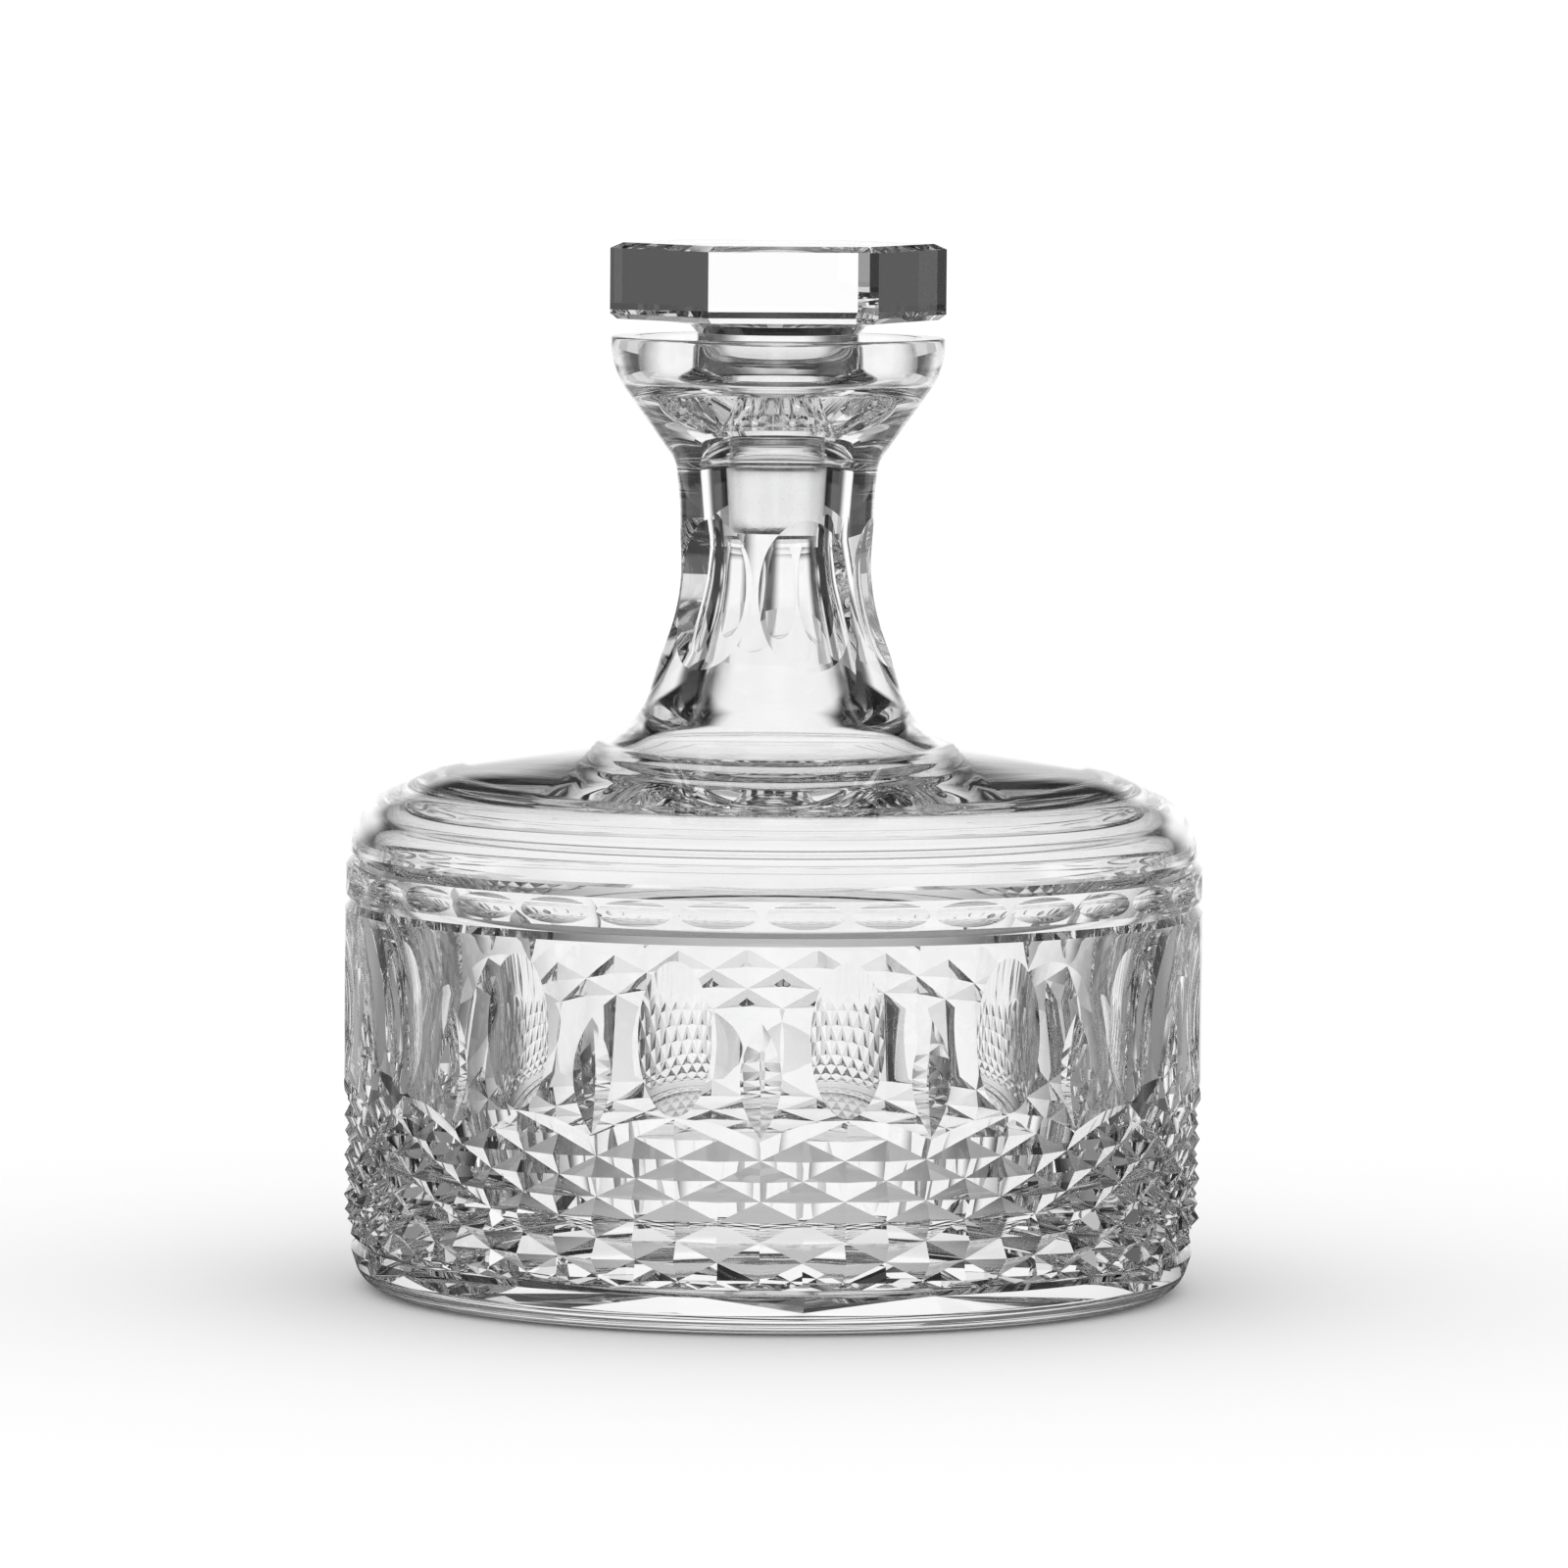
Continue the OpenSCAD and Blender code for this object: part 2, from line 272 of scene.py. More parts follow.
class Wheel:
    """A wheel that cuts into a round wall at local angle 0 and height z, as deep as radius near.

    Each kind of wheel has a gap, which is negative inside it, and a normal, which points out of the glass.
    """

    def __init__(self, near, radius, z):
        self.radius, self.z = radius, z
        self.x = near + radius

    def local(self, a, z, r):
        return r * np.cos(a) - self.x, r * np.sin(a), z - self.z

    def surface(self, a, z, low, high):
        """Radius of the cut at (a, z), between low in the glass and high in the wheel."""
        low, high = np.full(np.shape(a), low, float), np.full(np.shape(a), high, float)
        low, high = halve(lambda r: self.gap(a, z, r) >= 0, low, high)
        return (low + high) / 2


class RoundWheel(Wheel):
    """Upright wheel with a round edge, for the ovals."""

    def __init__(self, near, radius, z, edge):
        super().__init__(near, radius, z)
        self.edge = edge

    def gap(self, a, z, r):
        x, y, dz = self.local(a, z, r)
        return (np.hypot(x, dz) - self.radius + self.edge) ** 2 + y * y - self.edge ** 2

    def normal(self, a, z, r):
        x, y, dz = self.local(a, z, r)
        pull = (self.radius - self.edge) / np.hypot(x, dz) - 1
        return np.stack([x * pull, -y, dz * pull], axis=-1) / self.edge


class LyingWheel(RoundWheel):
    """Level wheel with a round edge, for the belt."""

    def gap(self, a, z, r):
        x, y, dz = self.local(a, z, r)
        return (np.hypot(x, y) - self.radius + self.edge) ** 2 + dz * dz - self.edge ** 2

    def normal(self, a, z, r):
        x, y, dz = self.local(a, z, r)
        pull = (self.radius - self.edge) / np.hypot(x, y) - 1
        return np.stack([x * pull, y * pull, -dz], axis=-1) / self.edge


class PointedWheel(Wheel):
    """Upright wheel with a V edge. Only its side at negative angles is used, and mirrored."""

    def __init__(self, near, radius, z, slope):
        super().__init__(near, radius, z)
        self.slope = slope

    def gap(self, a, z, r):
        x, y, dz = self.local(a, z, r)
        return np.hypot(x, dz) + self.slope * np.abs(y) - self.radius

    def normal(self, a, z, r):
        x, y, dz = self.local(a, z, r)
        rho = np.hypot(x, dz)
        n = np.stack([-x / rho, np.full(np.shape(x), self.slope), -dz / rho], axis=-1)
        return n / math.hypot(1, self.slope)


class FlatWheel(Wheel):
    """Upright wheel with a straight edge, for the neck."""

    def gap(self, a, z, r):
        x, _, dz = self.local(a, z, r)
        return np.hypot(x, dz) - self.radius

    def normal(self, a, z, r):
        x, y, dz = self.local(a, z, r)
        return np.stack([-x, 0 * y, -dz], axis=-1) / self.radius


def arc_radius(chord, depth):
    """Radius of a shallow arc from its chord and its depth."""
    return chord * chord / 8 / depth


def edge_for(width, depth, side_r):
    """Radius of the round edge that cuts so wide and deep into a wall of radius side_r."""
    q = arc_radius(width, depth)
    return q * side_r / (side_r - q)


oval_edge = edge_for(OVAL_W, OVAL_DEPTH, BODY_R)
point_slope = 2 * POINT_DEPTH / POINT_W
bead_wheel_r = edge_for(BEAD_LEN, BEAD_DEPTH, BELT_R)
oval = RoundWheel(BODY_R - OVAL_DEPTH, arc_radius(OVAL_H, OVAL_DEPTH), OVAL_Z, oval_edge)
lens = PointedWheel(BODY_R - POINT_DEPTH, arc_radius(POINT_H, POINT_DEPTH), POINT_Z, point_slope)
bead = LyingWheel(BELT_R - BEAD_DEPTH, bead_wheel_r, BEAD_Z, arc_radius(BEAD_H, BEAD_DEPTH))
flat = FlatWheel(FLAT_NEAR, FLAT_WHEEL_R, FLAT_Z)


def rim(wheel, wall, angles, unit, reach):
    """Points (local angle, z) of a cut's edge, in directions from its middle. unit is mm per radian."""
    t = np.asarray(angles, float)

    def point(length):
        return length * np.cos(t) / unit, wheel.z + length * np.sin(t)

    def inside(length):
        a, z = point(length)
        return wheel.gap(a, z, wall(z)) < 0

    low, _ = halve(inside, np.zeros_like(t), np.full_like(t, reach))
    return np.stack(point(low), axis=1)


# patches of a cut wall
def encloses(ring, p):
    """Whether a closed line of points goes round p."""
    x1, y1 = ring.T
    x2, y2 = np.roll(ring, -1, axis=0).T
    span = (y1 > p[1]) != (y2 > p[1])
    cross = x1[span] + (p[1] - y1[span]) * (x2[span] - x1[span]) / (y2[span] - y1[span])
    return (cross > p[0]).sum() % 2 == 1


def triangulate(border, cuts, unit, spacing):
    """Points (angle, z) and triangles of a patch whose border and cuts are lines of (angle, z)."""
    row_pitch, clear_of_lines = 0.87 * spacing, 0.55 * spacing
    stagger = (0.75, 0.25)
    points, edges = [], []

    def chain(line, closed):
        ids = []
        for a, z in line:
            p = (a * unit, z)
            for k, q in enumerate(points):
                if abs(p[0] - q[0]) < SAME and abs(p[1] - q[1]) < SAME:
                    ids.append(k)
                    break
            else:
                points.append(p)
                ids.append(len(points) - 1)
        edges.extend(zip(ids, ids[1:]))
        if closed:
            edges.append((ids[-1], ids[0]))

    chain(border, True)
    for line, closed in cuts:
        chain(line, closed)
    fixed = np.array(points)
    ring = np.array([(a * unit, z) for a, z in border])
    lo, hi = fixed.min(axis=0), fixed.max(axis=0)
    rows = int((hi[1] - lo[1]) / row_pitch)
    count = max(2, int((hi[0] - lo[0]) / spacing))
    for j in range(1, rows):
        z = lo[1] + (hi[1] - lo[1]) * j / rows
        for i in range(count):
            p = np.array([lo[0] + (hi[0] - lo[0]) * (i + stagger[j % 2]) / count, z])
            if np.hypot(*(fixed - p).T).min() >= clear_of_lines and encloses(ring, p):
                points.append(tuple(p))
    flat_points, faces = mesh_inside(points, edges)
    return flat_points[:, 0] / unit, flat_points[:, 1], faces


class Patch:
    """A patch of a wall with cuts in it, from local angle 0, as points and one normal per corner."""

    def __init__(self, border, cuts, unit, spacing, wall, wall_normal, wheels):
        a, z, faces = triangulate(border, cuts, unit, spacing)
        r = wall(z)
        for wheel, turn in wheels:
            cut = wheel.gap(a - turn, z, wall(z)) < -SAME
            r[cut] = wheel.surface(a[cut] - turn, z[cut], DEEPEST_R, OUTSIDE_R)
        self.points = np.stack([r * np.cos(a), r * np.sin(a), z], axis=1)[faces]
        mid_a, mid_z = a[faces].mean(axis=1), z[faces].mean(axis=1)
        fa, fz, fr = a[faces], z[faces], r[faces]
        n = wall_normal(fz)
        self.normals = np.stack([n[0] * np.cos(fa), n[0] * np.sin(fa), n[1]], axis=-1)
        for wheel, turn in wheels:
            mine = wheel.gap(mid_a - turn, mid_z, wall(mid_z)) < 0
            x, y, up = np.moveaxis(wheel.normal(fa[mine] - turn, fz[mine], fr[mine]), -1, 0)
            c, s = math.cos(turn), math.sin(turn)
            self.normals[mine] = np.stack([x * c - y * s, x * s + y * c, up], axis=-1)
        facing = np.cross(self.points[:, 1] - self.points[:, 0], self.points[:, 2] - self.points[:, 0])
        back = np.einsum("ij,ij->i", facing, self.normals.mean(axis=1)) < 0
        self.points[back] = self.points[back][:, ::-1]
        self.normals[back] = self.normals[back][:, ::-1]

    def place(self, skin, angle, mirrored, kind):
        """Add the patch to a skin, turned by an angle in degrees, and mirrored first if asked."""
        flip = np.array([1, -1 if mirrored else 1, 1])
        c, s = math.cos(math.radians(angle)), math.sin(math.radians(angle))
        turn = np.array([[c, s, 0], [-s, c, 0], [0, 0, 1]])
        points, normals = (self.points * flip) @ turn, (self.normals * flip) @ turn
        if mirrored:
            points, normals = points[:, ::-1], normals[:, ::-1]
        skin.add(points, normals, kind)


def constant(value):
    """The radius by height of an upright wall."""
    return lambda z: np.full(np.shape(z), value, float)


def upright(z):
    """The outward and upward parts of an upright wall's normals."""
    return np.ones(np.shape(z)), np.zeros(np.shape(z))


def steps(first, last, size):
    """Values from first to last, about size apart."""
    count = max(1, round(abs(last - first) / size))
    return [first + (last - first) * k / count for k in range(count + 1)]


def level_line(z, count):
    """Points (angle, z) of a level border, a turning step apart."""
    return [(math.radians(k * STEP), z) for k in range(count + 1)]


# diamond field
def column_angle(i):
    return math.radians((i - COLUMNS // 2) * COLUMN_TURN + FRONT)


def first_row(i):
    return FIRST_ROWS[i % COLUMNS]


def is_groove(i, k):
    """Whether grooves cross at a node. A diamond's point is at every other one."""
    return (i + k) % 2 == 0


def field_node(i, k):
    """Point of the field in column i and row k."""
    depth = TOP_DEPTHS.get(k, GROOVE_DEPTH) if is_groove(i, k) else RIDGE_DEPTH
    r = BODY_R - depth - (LAST_ROW_IN if k == ROWS else 0)
    t = column_angle(i)
    return np.array([r * math.cos(t), r * math.sin(t), ROW_0 - k * ROW_H])


def column_turns(i):
    """Angles from column i to the next one, a turning step apart."""
    return [column_angle(i) + math.radians(k * STEP) for k in range(COLUMN_STEPS + 1)]


def zigzag(i):
    """Points of the top groove from column i to the next one, a turning step apart."""
    p, q = field_node(i, first_row(i)), field_node(i + 1, first_row(i + 1))
    line = []
    for t in column_turns(i):
        across = np.array([-math.sin(t), math.cos(t), 0])
        line.append(p + (q - p) * (-(p @ across) / ((q - p) @ across)))
    return line


def runout(p):
    """Where the slope above a point of the top groove comes out of the straight side."""
    r = math.hypot(p[0], p[1])
    return np.array([p[0] * BODY_R / r, p[1] * BODY_R / r, p[2] + (BODY_R - r) * ROW_H / GROOVE_DEPTH])


def field_facets(i):
    """Flat triangles of the field between column i and the next one."""
    a, b = first_row(i), first_row(i + 1)
    line = zigzag(i)
    apex = field_node(i, b) if a < b else field_node(i + 1, a)
    tris = [(p, q, apex) for p, q in zip(line, line[1:])]
    for k in range(max(a, b), ROWS):
        n00, n01 = field_node(i, k), field_node(i, k + 1)
        n10, n11 = field_node(i + 1, k), field_node(i + 1, k + 1)
        if is_groove(i, k):
            tris += [(n00, n01, n11), (n00, n11, n10)]
        else:
            tris += [(n00, n01, n10), (n01, n11, n10)]
    end = [(FIELD_END_R * math.cos(t), FIELD_END_R * math.sin(t), FIELD_END_Z) for t in column_turns(i)]
    left, right = field_node(i, ROWS), field_node(i + 1, ROWS)
    mid = COLUMN_STEPS // 2
    tris += [(left, p, q) for p, q in zip(end[:mid], end[1:mid + 1])]
    tris += [(right, p, q) for p, q in zip(end[mid:], end[mid + 1:])]
    tris.append((left, end[mid], right))
    return tris


def diamond_field(skin, kind):
    """The facets of the diamonds, and the slopes from the top groove out to the straight side."""
    tris = []
    for i in range(PANELS * COLUMNS):
        tris += field_facets(i)
    skin.flat(tris, kind, radial)
    for i in range(PANELS * COLUMNS):
        line = zigzag(i)
        high = [runout(p) for p in line]
        n = np.cross(line[-1] - line[0], high[0] - line[0])
        n /= np.linalg.norm(n)
        n *= 1 if n @ radial(line[0][None])[0] > 0 else -1
        slope = []
        for k in range(len(line) - 1):
            slope += [(line[k], line[k + 1], high[k + 1]), (line[k], high[k + 1], high[k])]
        skin.add(slope, np.broadcast_to(n, (len(slope), 3, 3)), kind)


# material slots: cut and blown glass on the bottle, cut and ground glass on the stopper
CUT = 0
BLOWN = 1
GROUND = 1

# bottle: mm between the points of its patches, and along stretches of their borders
SIDE_SPACING, BELT_SPACING, NECK_SPACING = 0.9, 0.7, 0.7
BELOW_CUTS, ALONG_POINT, ABOVE_POINT = 0.5, 0.8, 1.2
ALONG_OVAL, ABOVE_OVAL = 0.9, 1.0
BELT_RISE = 0.9
NECK_RISE, ALONG_NECK_OVAL = 1.0, 0.8

# directions in degrees of the points of a cut's edge: of half a cut, of a pointed one and of a whole one
HALF_ROUND = np.linspace(-90, 90, 61)
POINT_RISE = np.linspace(-90, 90, 41)[1:-1]
FULL_ROUND = np.arange(0, 360, 4)


def pointed_side(half, tips):
    """Points (angle, z) of the near edge of the pointed cut at angle half, from tip to tip."""
    middle, rise = (tips[0] + tips[1]) / 2, (tips[1] - tips[0]) / 2
    z = np.array([middle + rise * math.sin(math.radians(s)) for s in POINT_RISE])
    outside = np.full_like(z, 0.2)
    width, _ = halve(lambda a: lens.gap(-a, z, BODY_R) < 0, np.zeros_like(z), outside)
    return [(half, tips[0]), *zip(half - width, z), (half, tips[1])]


def side_panels(skin):
    """The straight side above the diamonds, as half panels from an oval to a pointed cut."""
    half = math.radians(PANEL_TURN / 2)
    wall = constant(BODY_R)
    edge = rim(oval, wall, np.radians(HALF_ROUND), BODY_R, reach=30)
    oval_low, oval_top = edge[0][1], edge[-1][1]
    tips = rim(lens, wall, np.radians([-90, 90]), BODY_R, reach=20)[:, 1]
    bottom = [p for i in (0, 1) for p in zigzag(i)[:-1]] + [zigzag(1)[-1]]
    bottom = [(math.radians(k * STEP), runout(p)[2]) for k, p in enumerate(bottom)]
    top = level_line(SIDE_TOP, 2 * COLUMN_STEPS)[::-1]
    right = steps(bottom[-1][1], tips[0], BELOW_CUTS)[1:] + steps(tips[0], tips[1], ALONG_POINT)[1:]
    right += steps(tips[1], SIDE_TOP, ABOVE_POINT)[1:-1]
    left = steps(SIDE_TOP, oval_top, ABOVE_OVAL)[1:] + steps(oval_top, oval_low, ALONG_OVAL)[1:]
    left += steps(oval_low, bottom[0][1], BELOW_CUTS)[1:-1]
    border = bottom + [(half, z) for z in right] + top + [(0.0, z) for z in left]
    cuts = [(edge, False), (pointed_side(half, tips), False)]
    patch = Patch(border, cuts, BODY_R, SIDE_SPACING, wall, upright, [(oval, 0.0), (lens, half)])
    for k in range(PANELS):
        for mirrored in (False, True):
            patch.place(skin, OVAL_AT + k * PANEL_TURN, mirrored, CUT)


def belt(skin):
    """The belt of lying beads, two in each panel."""
    wall = constant(BELT_R)
    middle = math.radians(PANEL_TURN / 4)
    edge = rim(bead, wall, np.radians(FULL_ROUND), BELT_R, reach=8)
    edge[:, 0] += middle
    low = level_line(BELT_LOW, 2 * COLUMN_STEPS)
    high = level_line(BELT_TOP, 2 * COLUMN_STEPS)[::-1]
    rise = steps(BELT_LOW, BELT_TOP, BELT_RISE)[1:-1]
    border = low + [(2 * middle, z) for z in rise] + high + [(0.0, z) for z in rise[::-1]]
    patch = Patch(border, [(edge, True)], BELT_R, BELT_SPACING, wall, upright, [(bead, middle)])
    for k in range(2 * PANELS):
        patch.place(skin, OVAL_AT + k * PANEL_TURN / 2, False, CUT)


def neck(skin, pieces):
    """The ovals of the neck and the glass between them, over these pieces of the outline."""

    def piece_at(z):
        for piece in pieces:
            if piece[0][1] - TINY <= z <= piece[1][1] + TINY:
                return at_height(piece, z)
        raise ValueError(z)

    def wall(z):
        return np.array([piece_at(v)[0] for v in np.ravel(z)]).reshape(np.shape(z))

    def wall_normal(z):
        n = np.array([piece_at(v)[1] for v in np.ravel(z)])
        return n[:, 0].reshape(np.shape(z)), n[:, 1].reshape(np.shape(z))

    def inside_wall(z):
        return wall(np.clip(z, NECK_LOW, NECK_TOP))

    half = math.radians(180 / NECK_OVALS)
    edge = rim(flat, inside_wall, np.radians(HALF_ROUND), NECK_R, reach=16)
    oval_low, oval_top = edge[0][1], edge[-1][1]
    low = level_line(NECK_LOW, NECK_STEPS)
    high = level_line(NECK_TOP, NECK_STEPS)[::-1]
    right = steps(NECK_LOW, NECK_TOP, NECK_RISE)[1:-1]
    left = steps(NECK_TOP, oval_top, ALONG_NECK_OVAL)[1:] + steps(oval_top, oval_low, ALONG_NECK_OVAL)[1:]
    left += steps(oval_low, NECK_LOW, ALONG_NECK_OVAL)[1:-1]
    border = low + [(half, z) for z in right] + high + [(0.0, z) for z in left]
    patch = Patch(border, [(edge, False)], NECK_R, NECK_SPACING, wall, wall_normal, [(flat, 0.0)])
    for k in range(NECK_OVALS):
        for mirrored in (False, True):
            patch.place(skin, NECK_OVAL_AT + k * 360 / NECK_OVALS, mirrored, CUT)


def make_bottle(materials):
    skin = Skin()
    skin.revolve(outline(FOOT), CUT)
    diamond_field(skin, CUT)
    side_panels(skin)
    skin.revolve(outline(GROOVE), CUT)
    belt(skin)
    upper = outline(SHOULDER + NECK + CUP + SEAT + BORE + CAVITY)
    below, rest = split(upper, NECK_LOW)
    through, above = split(rest, NECK_TOP)
    skin.revolve(below, BLOWN)
    neck(skin, through)
    skin.revolve(above, BLOWN)
    return skin.build("decanter_bottle", materials)


# stopper
def head_corner(ring, k):
    r, z = ring
    t = math.radians(HEAD_TURN + 360 / HEAD_SIDES * k)
    return np.array([r * math.cos(t), r * math.sin(t), z])


def head_underside():
    """Triangles between the shank and the lowest ring of the head."""
    turns = [math.radians(k * STEP) for k in range(TURN_STEPS)]
    points = [(SHANK_R * math.cos(t), SHANK_R * math.sin(t)) for t in turns]
    points += [tuple(head_corner(HEAD_RINGS[0], k)[:2]) for k in range(HEAD_SIDES)]
    edges = [(k, (k + 1) % TURN_STEPS) for k in range(TURN_STEPS)]
    edges += [(TURN_STEPS + k, TURN_STEPS + (k + 1) % HEAD_SIDES) for k in range(HEAD_SIDES)]
    flat_points, faces = mesh_inside(points, edges)
    hole_r = SHANK_R * 0.9999
    under = []
    for face in faces:
        tri = [np.array([*flat_points[v], HEAD_LOW]) for v in face]
        if np.hypot(*np.mean(tri, axis=0)[:2]) > hole_r:
            under.append(tri)
    return under


def make_stopper(materials):
    skin = Skin()
    for piece in outline(STOPPER):
        heights = piece[0][1], piece[1][1]
        ground = max(heights) <= PLUG_TOP + SAME and min(heights) >= PLUG_LOW
        skin.revolve([piece], GROUND if ground else CUT)
    skin.flat(head_underside(), CUT, lambda p: np.broadcast_to([0, 0, -1], p.shape))
    sides = []
    for low, high in zip(HEAD_RINGS, HEAD_RINGS[1:]):
        for k in range(HEAD_SIDES):
            a, b = head_corner(low, k), head_corner(low, k + 1)
            c, d = head_corner(high, k + 1), head_corner(high, k)
            sides += [(a, b, c), (a, c, d)]
    skin.flat(sides, CUT, radial)
    first, *others = [head_corner(HEAD_RINGS[-1], k) for k in range(HEAD_SIDES)]
    top = [(first, p, q) for p, q in zip(others, others[1:])]
    skin.flat(top, CUT, lambda p: np.broadcast_to([0, 0, 1], p.shape))
    return skin.build("decanter_stopper", materials)


# materials
class Nodes:
    """A node tree that is built by short calls."""

    def __init__(self, tree):
        self.tree = tree
        tree.nodes.clear()

    def add(self, kind, **values):
        node = self.tree.nodes.new(kind)
        for key, value in values.items():
            if hasattr(node, key):
                setattr(node, key, value)
            else:
                node.inputs[key].default_value = value
        return node

    def link(self, a, out, b, into):
        self.tree.links.new(a.outputs[out], b.inputs[into])

    def math(self, operation, a, b=None):
        node = self.add("ShaderNodeMath", operation=operation)
        for k, value in enumerate((a, b)):
            if value is None:
                continue
            if isinstance(value, (int, float)):
                node.inputs[k].default_value = value
            else:
                self.tree.links.new(value, node.inputs[k])
        return node.outputs[0]

    def product(self, first, *others):
        for value in others:
            first = self.math("MULTIPLY", first, value)
        return first

    def most(self, first, *others):
        for value in others:
            first = self.math("MAXIMUM", first, value)
        return first

    def off(self, value, middle):
        """How far a value is from a middle, on either side."""
        return self.math("ABSOLUTE", self.math("SUBTRACT", value, middle))

    def degrees(self, value):
        return self.math("MULTIPLY", value, 180 / math.pi)

    def ease(self, value, fade):
        """A soft step. A fade is (from, to, level at from, level at to)."""
        node = self.add("ShaderNodeMapRange", interpolation_type="SMOOTHSTEP")
        self.tree.links.new(value, node.inputs[0])
        for k, number in enumerate(fade, 1):
            node.inputs[k].default_value = number
        return node.outputs[0]


GLASS_IOR = 1.545
CLEAR = ((0.992, 0.995, 0.994), (1.0, 1.0, 1.0))
CLOUD_RANGE = (0.3, 0.7)
MARK_RANGE = (0.35, 0.65)
MARK_SCALE = 420.0


def glass(name, rough, relief, cloud_scale, mark_scale=MARK_SCALE, matt=False):
    """Clear glass with a cloudy tint, marks in its polish, and a relief in metres, of the marks if matt."""
    material = bpy.data.materials.new(name)
    material.use_nodes = True
    n = Nodes(material.node_tree)
    out = n.add("ShaderNodeOutputMaterial")
    body = n.add("ShaderNodeBsdfPrincipled")
    body.inputs["IOR"].default_value = GLASS_IOR
    body.inputs["Transmission Weight"].default_value = 1.0
    n.link(body, "BSDF", out, "Surface")
    place = n.add("ShaderNodeTexCoord")
    cloud = n.add("ShaderNodeTexNoise", Scale=cloud_scale, Detail=2.0, Roughness=0.45)
    n.link(place, "Object", cloud, "Vector")
    colour = n.add("ShaderNodeValToRGB")
    for element, position, tint in zip(colour.color_ramp.elements, CLOUD_RANGE, CLEAR):
        element.position = position
        element.color = (*tint, 1)
    n.link(cloud, "Fac", colour, "Fac")
    n.link(colour, "Color", body, "Base Color")
    marks = n.add("ShaderNodeTexNoise", Scale=mark_scale, Detail=4.0, Roughness=0.6)
    n.link(place, "Object", marks, "Vector")
    polish = n.add("ShaderNodeMapRange")
    n.link(marks, "Fac", polish, 0)
    for k, value in enumerate((*MARK_RANGE, *rough), 1):
        polish.inputs[k].default_value = value
    n.link(polish, 0, body, "Roughness")
    bump = n.add("ShaderNodeBump")
    bump.inputs["Strength"].default_value = 1.0
    bump.inputs["Distance"].default_value = relief
    n.link(marks if matt else cloud, "Fac", bump, "Height")
    n.link(bump, "Normal", body, "Normal")
    return material


cut_glass = glass("cut_glass", rough=(0.0, 0.012), relief=6e-6, cloud_scale=45.0)
blown_glass = glass("blown_glass", rough=(0.0, 0.010), relief=5e-6, cloud_scale=38.0)
stopper_cut = glass("stopper_cut_glass", rough=(0.0, 0.012), relief=4e-6, cloud_scale=45.0)
stopper_ground = glass(
    "stopper_ground_glass", rough=(0.16, 0.28), relief=2e-5, cloud_scale=38.0, mark_scale=2600.0, matt=True
)

bottle = make_bottle([cut_glass, blown_glass])
stopper = make_stopper([stopper_cut, stopper_ground])
for piece, node in ((bottle, "bottle"), (stopper, "stopper")):
    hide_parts(node)
    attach(piece, node)


# floor and light, with fades in metres, in degrees upwards, or in degrees from 0 behind to 180 in front
WHITE = 1.05
FLOOR_R, FLOOR_Z, FLOOR_SIDES = 1.2, -0.0002, 72
FLOOR_COLOUR = (0.97, 0.97, 0.97, 1)

# a strip of floor that glows for glass, painted light on a floor that is no lamp; it runs backwards under
# the object and spreads, and its glow is painted dimmer under the object as painted shade
STRIP_ALONG = (-0.03, 0.16, 0.54, 1.0)
STRIP_ACROSS = (0.012, 0.072, 1.0, 0.06)
STRIP_SPREAD = 0.3

# glowing panels of the floor further out, painted light that glass sees: middle angle, fade off that angle,
# fade away from the axis
FLOOR_PANELS = (
    (0, (38, 60, 0.5, 0.0), (0.18, 0.3, 0.0, 1.0)),
    (74, (16, 32, 0.26, 0.0), (0.085, 0.11, 0.0, 1.0)),
    (45, (6, 16, 0.75, 0.0), (0.16, 0.28, 0.0, 1.0)),
    (135, (6, 16, 0.75, 0.0), (0.16, 0.28, 0.0, 1.0)),
    (90, (7, 15, 0.8, 0.0), (0.2, 0.4, 0.0, 1.0)),
)

# the white wall behind the object, and the light above it
BACK_INNER, BACK_OUTER = (12, 34, WHITE, 0.1), (30, 44, 1.0, 0.0)
LOW = (12, 19, 1.0, 0.0)
ABOVE_LOWER, ABOVE_UPPER, ABOVE_BACK = (44, 52, 0.0, 0.7), (68, 78, 1.0, 0.2), (22, 60, 1.0, 0.05)
DARK = 0.015

# panels of the studio: middle angle, fade off that angle, fade upwards
STUDIO_PANELS = (
    (90, (7, 15, 0.85, 0.0), LOW),
    (135, (10, 24, 0.85, 0.0), (9, 16, 1.0, 0.0)),
    (45, (14, 20, 0.1, 0.0), (4, 9, 1.0, 0.0)),
    (180, (30, 55, 0.3, 0.0), (12, 24, 1.0, 0.15)),
)


def panel_levels(n, angle, other, table):
    """Levels of the panels of a table, by the angle and by the other value that fades them."""
    levels = []
    for middle, angle_fade, other_fade in table:
        levels.append(n.product(n.ease(n.off(angle, middle), angle_fade), n.ease(other, other_fade)))
    return levels


def seen_by_glass(n):
    """One for the rays that glass sends out by reflection or refraction."""
    path = n.add("ShaderNodeLightPath")
    return n.math("MAXIMUM", path.outputs["Is Glossy Ray"], path.outputs["Is Transmission Ray"])


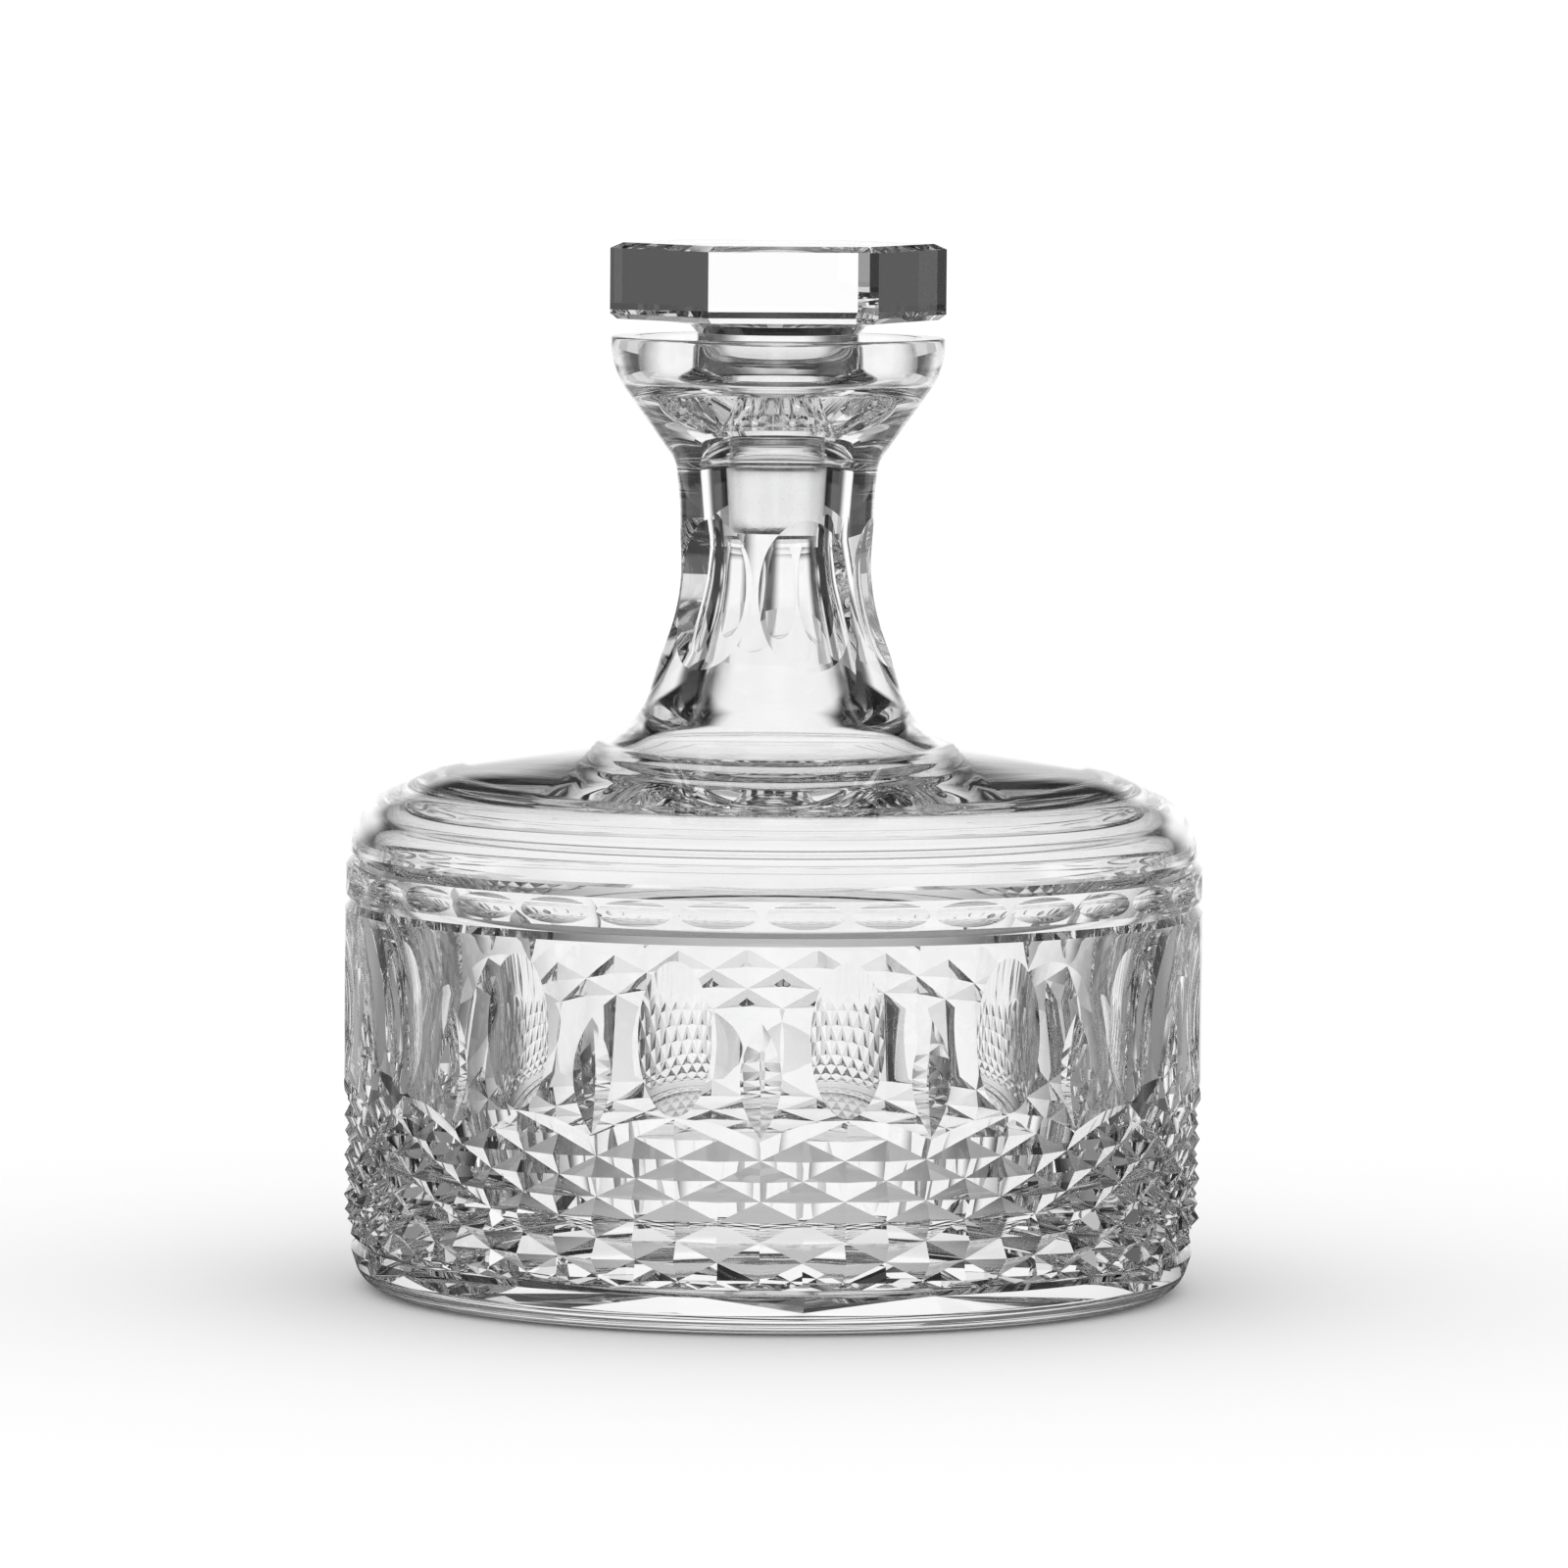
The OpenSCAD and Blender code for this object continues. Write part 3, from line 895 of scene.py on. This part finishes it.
def make_floor():
    """A white floor with the object's shadow. Glass sees painted light instead: a glowing strip, painted
    dimmer under the object as painted shade, and glowing panels on a dark floor.
    """
    mesh = bpy.data.meshes.new("floor")
    turns = [math.radians(k * 360 / FLOOR_SIDES) for k in range(FLOOR_SIDES)]
    ring = [(FLOOR_R * math.cos(t), FLOOR_R * math.sin(t), FLOOR_Z) for t in turns]
    mesh.from_pydata(ring, [], [list(range(FLOOR_SIDES))])
    floor = bpy.data.objects.new("floor", mesh)
    bpy.context.scene.collection.objects.link(floor)
    material = bpy.data.materials.new("floor_white")
    material.use_nodes = True
    n = Nodes(material.node_tree)
    out = n.add("ShaderNodeOutputMaterial")
    body = n.add("ShaderNodeBsdfDiffuse")
    body.inputs["Color"].default_value = FLOOR_COLOUR
    glow = n.add("ShaderNodeEmission")
    mix = n.add("ShaderNodeMixShader")
    place = n.add("ShaderNodeTexCoord")
    parts = n.add("ShaderNodeSeparateXYZ")
    n.link(place, "Object", parts, "Vector")
    x, y = parts.outputs["X"], parts.outputs["Y"]
    across = n.math("ABSOLUTE", x)
    strip = n.math("SUBTRACT", across, n.math("MULTIPLY", n.math("MAXIMUM", y, 0.0), STRIP_SPREAD))
    # the strip's painted glow, dimmer under the object than behind it: painted shade
    middle = n.product(n.ease(y, STRIP_ALONG), n.ease(strip, STRIP_ACROSS))
    away = n.math("SQRT", n.math("ADD", n.math("MULTIPLY", x, x), n.math("MULTIPLY", y, y)))
    angle = n.degrees(n.math("ARCTAN2", across, y))
    # painted light: the floor glows at this level for rays from glass
    level = n.most(middle, *panel_levels(n, angle, away, FLOOR_PANELS))
    n.tree.links.new(level, glow.inputs["Strength"])
    n.tree.links.new(seen_by_glass(n), mix.inputs[0])
    n.tree.links.new(body.outputs[0], mix.inputs[1])
    n.tree.links.new(glow.outputs[0], mix.inputs[2])
    n.link(mix, 0, out, "Surface")
    mesh.materials.append(material)


def make_world():
    """White for the camera and the floor. Glass sees white panels round a dark studio, and one overhead."""
    world = bpy.data.worlds.new("studio")
    bpy.context.scene.world = world
    world.use_nodes = True
    n = Nodes(world.node_tree)
    out = n.add("ShaderNodeOutputWorld")
    back = n.add("ShaderNodeBackground")
    back.inputs["Color"].default_value = (1, 1, 1, 1)
    n.link(back, "Background", out, "Surface")
    place = n.add("ShaderNodeTexCoord")
    parts = n.add("ShaderNodeSeparateXYZ")
    n.link(place, "Generated", parts, "Vector")
    x, y, z = parts.outputs
    angle = n.degrees(n.math("ABSOLUTE", n.math("ARCTAN2", x, y)))
    height = n.degrees(n.math("ARCSINE", z))
    behind = n.product(n.ease(angle, BACK_INNER), n.ease(height, LOW), n.ease(angle, BACK_OUTER))
    above = n.product(n.ease(height, ABOVE_LOWER), n.ease(height, ABOVE_UPPER), n.ease(angle, ABOVE_BACK))
    studio = n.most(behind, *panel_levels(n, angle, height, STUDIO_PANELS), above, DARK)
    through = seen_by_glass(n)
    white = n.math("MULTIPLY", n.math("SUBTRACT", 1.0, through), WHITE)
    lit = n.math("ADD", n.math("MULTIPLY", studio, through), white)
    n.tree.links.new(lit, back.inputs["Strength"])


make_floor()
make_world()

# camera, solved from the photograph: its place in metres, its angles, and its focal length in pixels
CAMERA_AWAY, CAMERA_HEIGHT = 1.75, 0.2164
CAMERA_TURN, CAMERA_PAN = math.radians(1.5), math.radians(0.0496)
CAMERA_PITCH, CAMERA_ROLL = math.radians(4.385), math.radians(0.45)
SENSOR_MM = 36.0
FOCAL_PX, FRAME_PX = 10975, 1600


def make_camera():
    data = bpy.data.cameras.new("photo_camera")
    data.sensor_fit = "HORIZONTAL"
    data.sensor_width = SENSOR_MM
    data.lens = SENSOR_MM * FOCAL_PX / FRAME_PX
    data.clip_start, data.clip_end = 0.05, 50.0
    camera = bpy.data.objects.new("photo_camera", data)
    heading = CAMERA_TURN - CAMERA_PAN
    level = math.cos(CAMERA_PITCH)
    forward = Vector((-math.sin(heading) * level, math.cos(heading) * level, -math.sin(CAMERA_PITCH)))
    right = forward.cross(Vector((0, 0, 1))).normalized()
    up = right.cross(forward)
    c, s = math.cos(CAMERA_ROLL), math.sin(CAMERA_ROLL)
    right, up = right * c + up * s, up * c - right * s
    basis = Matrix((right, up, -forward)).transposed().to_4x4()
    x, y = CAMERA_AWAY * math.sin(CAMERA_TURN), -CAMERA_AWAY * math.cos(CAMERA_TURN)
    camera.matrix_world = Matrix.Translation(Vector((x, y, CAMERA_HEIGHT))) @ basis
    bpy.context.scene.collection.objects.link(camera)
    bpy.context.scene.camera = camera


make_camera()

# colours as they are written, and bounces enough for light that passes many walls of glass
scene = bpy.context.scene
scene.view_settings.view_transform = "Standard"
scene.cycles.max_bounces = 32
scene.cycles.transmission_bounces = 32
scene.cycles.glossy_bounces = 24
scene.cycles.diffuse_bounces = 3
